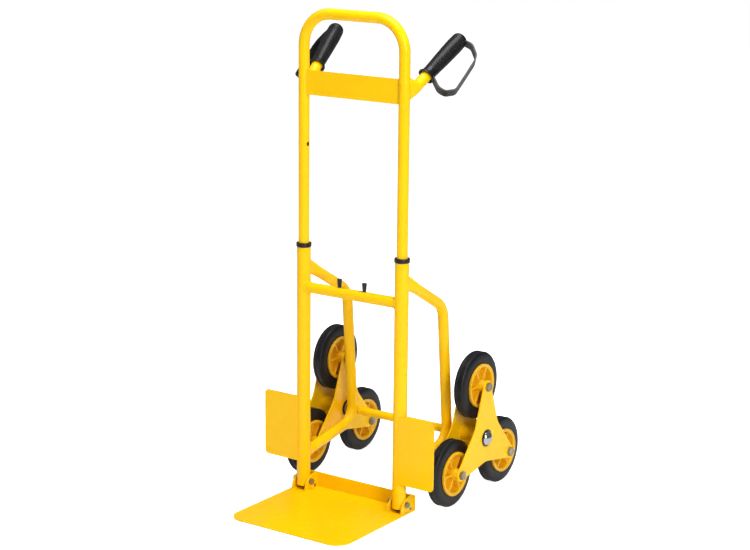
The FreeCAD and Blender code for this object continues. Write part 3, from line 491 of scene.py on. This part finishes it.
link(pos2.outputs[0], to_axis.inputs[0])
link(info.outputs["Geometry"], ray.inputs["Target Geometry"])
link(to_axis.outputs[0], ray.inputs["Ray Direction"])
reach_axis = add(t, "ShaderNodeVectorMath", operation="MULTIPLY")
reach_axis.inputs[1].default_value = (1.0, 1.0, 0.0)
far_out = add(t, "ShaderNodeVectorMath", operation="LENGTH")
link(ray.outputs["Hit Position"], reach_axis.inputs[0])
link(reach_axis.outputs[0], far_out.inputs[0])
on_sleeve = add(t, "ShaderNodeMath", operation="LESS_THAN")
on_sleeve.inputs[1].default_value = SLEEVE_MAX_RADIUS
link(far_out.outputs["Value"], on_sleeve.inputs[0])
keep = add(t, "FunctionNodeBooleanMath", operation="AND")
link(ray.outputs["Is Hit"], keep.inputs[0])
link(on_sleeve.outputs[0], keep.inputs[1])
drop = add(t, "GeometryNodeSetPosition")
link(ray.outputs["Hit Position"], drop.inputs["Position"])
stand = add(t, "FunctionNodeAlignRotationToVector", axis="Z")
dome = add(t, "GeometryNodeMeshUVSphere")
dome.inputs["Segments"].default_value = 6
dome.inputs["Rings"].default_value = 4
link(gi.outputs["Dot Radius"], dome.inputs["Radius"])
squash = add(t, "GeometryNodeTransform")
scale = add(t, "ShaderNodeCombineXYZ")
scale.inputs["X"].default_value = 1.0
scale.inputs["Y"].default_value = 1.0
link(gi.outputs["Dot Height"], scale.inputs["Z"])
link(dome.outputs["Mesh"], squash.inputs["Geometry"])
link(scale.outputs[0], squash.inputs["Scale"])
face_out = add(t, "GeometryNodeStoreNamedAttribute", data_type="FLOAT_VECTOR", domain="POINT")
face_out.inputs["Name"].default_value = "way"
outward = add(t, "ShaderNodeVectorMath", operation="MULTIPLY")
outward.inputs[1].default_value = (1.0, 1.0, 0.0)
link(pos2.outputs[0], outward.inputs[0])
way = add(t, "GeometryNodeInputNamedAttribute", data_type="FLOAT_VECTOR")
way.inputs["Name"].default_value = "way"
keep_attr = add(t, "GeometryNodeStoreNamedAttribute", data_type="BOOLEAN", domain="POINT")
keep_attr.inputs["Name"].default_value = "keep"
link(points.outputs[0], face_out.inputs["Geometry"])
link(outward.outputs[0], face_out.inputs["Value"])
link(face_out.outputs[0], keep_attr.inputs["Geometry"])
link(keep.outputs[0], keep_attr.inputs["Value"])
link(keep_attr.outputs[0], drop.inputs["Geometry"])
kept = add(t, "GeometryNodeInputNamedAttribute", data_type="BOOLEAN")
kept.inputs["Name"].default_value = "keep"
link(way.outputs["Attribute"], stand.inputs["Vector"])
place_all = add(t, "GeometryNodeInstanceOnPoints")
link(drop.outputs[0], place_all.inputs["Points"])
link(kept.outputs["Attribute"], place_all.inputs["Selection"])
link(squash.outputs[0], place_all.inputs["Instance"])
link(stand.outputs[0], place_all.inputs["Rotation"])
real = add(t, "GeometryNodeRealizeInstances")
dress = add(t, "GeometryNodeSetMaterial")
link(place_all.outputs[0], real.inputs[0])
link(real.outputs[0], dress.inputs["Geometry"])
link(gi.outputs["Material"], dress.inputs["Material"])
link(dress.outputs[0], go.inputs["Geometry"])

for side, sign in SIDES:
    start = Vector((GRIP_START.x * sign, GRIP_START.y, GRIP_START.z))
    axis = Vector((GRIP_WAY.x * sign, GRIP_WAY.y, GRIP_WAY.z))
    across = axis.cross(Vector((0, 0, 1))).normalized()
    third = axis.cross(across)
    turn = Matrix((across, third, axis)).transposed().to_4x4()
    seed_mesh = bpy.data.meshes.new(side + "_grip_dots")
    dots = bpy.data.objects.new(side + "_grip_dots", seed_mesh)
    bpy.context.scene.collection.objects.link(dots)
    dots.matrix_world = Matrix.Translation(start) @ turn
    bpy.context.view_layer.update()
    mod = dots.modifiers.new("dots", "NODES")
    mod.node_group = dots_tree
    set_input(mod, "Grip", nodes[side + "_grip"])
    set_input(mod, "Material", grip_plastic)
    bpy.context.view_layer.update()
    settle(dots)
    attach(dots, "handle_frame")
    print(dots.name, len(dots.data.polygons), "faces")

# %% [markdown]
# ## Weld beads
# Painted steel tubes meet along saddle curves. Each weld follows the line where two pieces meet,
# worked out from their sizes to within 0.6 mm. One Geometry Nodes tree walks along the line and
# overlaps small flattened drops on it, as a welder's bead has.

# %% Weld tree
weld_tree, gi, go = geometry_tree("weld bead", [
    ("Pitch", "NodeSocketFloat", 0.0019), ("Bead Radius", "NodeSocketFloat", 0.0022),
    ("Seed", "NodeSocketInt", 4), ("Material", "NodeSocketMaterial", None)])
t = weld_tree
link = t.links.new
as_curve = add(t, "GeometryNodeMeshToCurve")
even = add(t, "GeometryNodeResampleCurve", mode="LENGTH")
drop_shape = add(t, "GeometryNodeMeshUVSphere")
drop_shape.inputs["Segments"].default_value = 8
drop_shape.inputs["Rings"].default_value = 6
lay = add(t, "GeometryNodeInstanceOnPoints")
tangent = add(t, "GeometryNodeInputTangent")
aim = add(t, "FunctionNodeAlignRotationToVector", axis="Z")
uneven = add(t, "FunctionNodeRandomValue", data_type="FLOAT_VECTOR")
uneven.inputs[0].default_value = (0.85, 0.85, 0.62)
uneven.inputs[1].default_value = (1.12, 1.12, 0.80)
real = add(t, "GeometryNodeRealizeInstances")
dress = add(t, "GeometryNodeSetMaterial")
link(gi.outputs["Geometry"], as_curve.inputs["Mesh"])
link(as_curve.outputs[0], even.inputs["Curve"])
link(gi.outputs["Pitch"], even.inputs["Length"])
link(gi.outputs["Bead Radius"], drop_shape.inputs["Radius"])
link(even.outputs[0], lay.inputs["Points"])
link(drop_shape.outputs["Mesh"], lay.inputs["Instance"])
link(tangent.outputs[0], aim.inputs["Vector"])
link(aim.outputs[0], lay.inputs["Rotation"])
link(gi.outputs["Seed"], uneven.inputs["Seed"])
link(uneven.outputs[0], lay.inputs["Scale"])
link(lay.outputs[0], real.inputs[0])
link(real.outputs[0], dress.inputs["Geometry"])
link(gi.outputs["Material"], dress.inputs["Material"])
link(dress.outputs[0], go.inputs["Geometry"])


def weld(name, lines, body, bead=0.0022, seed=4):
    """lines is a list of point lists; each becomes one run of weld."""
    verts, edges = [], []
    for line in lines:
        first = len(verts)
        verts.extend(line)
        edges.extend((first + i, first + i + 1) for i in range(len(line) - 1))
    mesh = bpy.data.meshes.new(name)
    mesh.from_pydata([tuple(v) for v in verts], edges, [])
    obj = bpy.data.objects.new(name, mesh)
    bpy.context.scene.collection.objects.link(obj)
    mod = obj.modifiers.new("bead", "NODES")
    mod.node_group = weld_tree
    set_input(mod, "Pitch", bead * 0.85)
    set_input(mod, "Bead Radius", bead)
    set_input(mod, "Seed", seed)
    set_input(mod, "Material", paint)
    settle(obj)
    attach(obj, body)
    print(name, len(obj.data.polygons), "faces")
    return obj


def side_of(lines, sign):
    return [[Vector((p.x * sign, p.y, p.z)) for p in line] for line in lines]


# %% [markdown]
# ### Welds of the lower frame
# The crossbar and each brace end meet an upright on a saddle curve; the axle lies in the heel of
# each brace; each wheel guard is held by short stitches down the upright.

# %% Lower frame welds
PROUD = 0.0006               # how far a bead's centre stands off the steel
BRACE_TOP_Z = 0.540
BRACE_TOP_HALF = (0.0180, 0.0062)
BRACE_TOP_SLOPE = -0.6
BRACE_FOOT_Z = 0.0926
BRACE_FOOT_HALF = (0.0147, 0.0102)
BRACE_FOOT_SLOPE = 0.16
BRACE_R = 0.0125
STITCH_PLACES = (0.08, 0.5, 0.92)
STITCH_HALF = 0.011
SADDLE_FROM = math.radians(125)
SADDLE_TO = math.radians(235)


def ring(count=40, start=0.0, stop=2.0 * math.pi):
    return [start + (stop - start) * i / count for i in range(count + 1)]


def crossbar_weld():
    line = []
    for a in ring():
        y, z = CROSSBAR_R * math.cos(a), CROSSBAR_R * math.sin(a)
        x = UPRIGHT_X - math.sqrt(UPRIGHT_R ** 2 - y ** 2)
        line.append(Vector((x - PROUD, y * 1.03, CROSSBAR_Z + z * 1.03)))
    return line


def pressed_weld(z, half_wide, half_thin, slope):
    """Round a pressed tube end that meets the back of an upright."""
    line = []
    for a in ring():
        x, dz = half_thin * math.cos(a), half_wide * math.sin(a)
        y = math.sqrt(UPRIGHT_R ** 2 - x ** 2)
        line.append(Vector((UPRIGHT_X + x, y + PROUD, z + dz + (y - UPRIGHT_R) * slope)))
    return line


guard_low, guard_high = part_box("right_wheel_guard")
guard_lines = []
for part in STITCH_PLACES:
    mid = guard_low.z + (guard_high.z - guard_low.z) * part
    y = guard_high.y
    x = UPRIGHT_X + math.sqrt(UPRIGHT_R ** 2 - y ** 2)
    guard_lines.append([Vector((x, y + 0.0004, mid + dz)) for dz in (-STITCH_HALF, 0.0, STITCH_HALF)])
saddle_lines = []
for dx in (-BRACE_R, BRACE_R):
    line = []
    for a in ring(14, SADDLE_FROM, SADDLE_TO):
        y = AXLE_Y + AXLE_R * math.cos(a)
        z = AXLE_Z + AXLE_R * math.sin(a)
        line.append(Vector((UPRIGHT_X + dx, y, z)))
    saddle_lines.append(line)
brace_lines = [pressed_weld(BRACE_TOP_Z, *BRACE_TOP_HALF, BRACE_TOP_SLOPE),
               pressed_weld(BRACE_FOOT_Z, *BRACE_FOOT_HALF, BRACE_FOOT_SLOPE)]
one_side = [crossbar_weld()] + brace_lines + guard_lines + saddle_lines
weld("frame_welds", side_of(one_side, 1.0) + side_of(one_side, -1.0), "frame")

# %% [markdown]
# ### Welds of the handle frame, the toe plate and the clusters

# %% Other welds
STUB_X = 0.1404
STUB_Z = 0.9725
STUB_HALF_WIDE = 0.0245
STUB_HALF_THIN = 0.0066
sign_low, sign_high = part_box("sign_plate")


def sign_weld(x, y, end_gap):
    """Up one corner of the sign plate, stopping end_gap short of each long edge."""
    z = sign_low.z + end_gap
    tall = sign_high.z - sign_low.z - 2 * end_gap
    return [Vector((x, y, z + tall * i / 8)) for i in range(9)]


x_back = UPRIGHT_X - math.sqrt(INNER_R ** 2 - sign_high.y ** 2)
x_front = UPRIGHT_X - math.sqrt(INNER_R ** 2 - sign_low.y ** 2)
sign_lines = [sign_weld(x_back - 0.0008, sign_high.y + PROUD, 0.003),
              sign_weld(x_front - 0.0002, sign_low.y, 0.002)]
stub_line = []
for a in ring():
    x = STUB_X + STUB_HALF_THIN * math.cos(a)
    z = STUB_Z + STUB_HALF_WIDE * math.sin(a)
    y = math.sqrt(max(INNER_R ** 2 - (x - UPRIGHT_X) ** 2, 1e-8))
    stub_line.append(Vector((x, y + PROUD, z)))
handle_lines = sign_lines + [stub_line]
both_sides = side_of(handle_lines, 1.0) + side_of(handle_lines, -1.0)
weld("handle_welds", both_sides, "handle_frame", bead=0.0017, seed=7)

b_low, b_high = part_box("right_hinge_bracket")
toe_top = b_low.z
plate_lines = []
first_y = b_low.y + 0.004
run_y = b_high.y - b_low.y - 0.010
for x in (b_low.x - 0.0004, b_high.x + 0.0004):
    plate_lines.append([Vector((x, first_y + run_y * i / 6, toe_top)) for i in range(7)])
both_sides = side_of(plate_lines, 1.0) + side_of(plate_lines, -1.0)
weld("toe_plate_welds", both_sides, "toe_plate", bead=0.0015, seed=9)

for side, sign in SIDES:
    lines = []
    hub_low, hub_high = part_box(side + "_cluster_hub_tube")
    hub_r = (hub_high.z - hub_low.z) / 2
    for plate in ("_cluster_outer_plate", "_cluster_inner_plate"):
        p_low, p_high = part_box(side + plate)
        inner_face = p_low.x if (plate == "_cluster_outer_plate") == (sign > 0) else p_high.x
        lines.append([
            Vector((inner_face, AXLE_Y + hub_r * math.cos(a), AXLE_Z + hub_r * math.sin(a)))
            for a in ring()])
    weld(side + "_cluster_welds", lines, side + "_cluster", bead=0.0021, seed=11)

# %% Finish
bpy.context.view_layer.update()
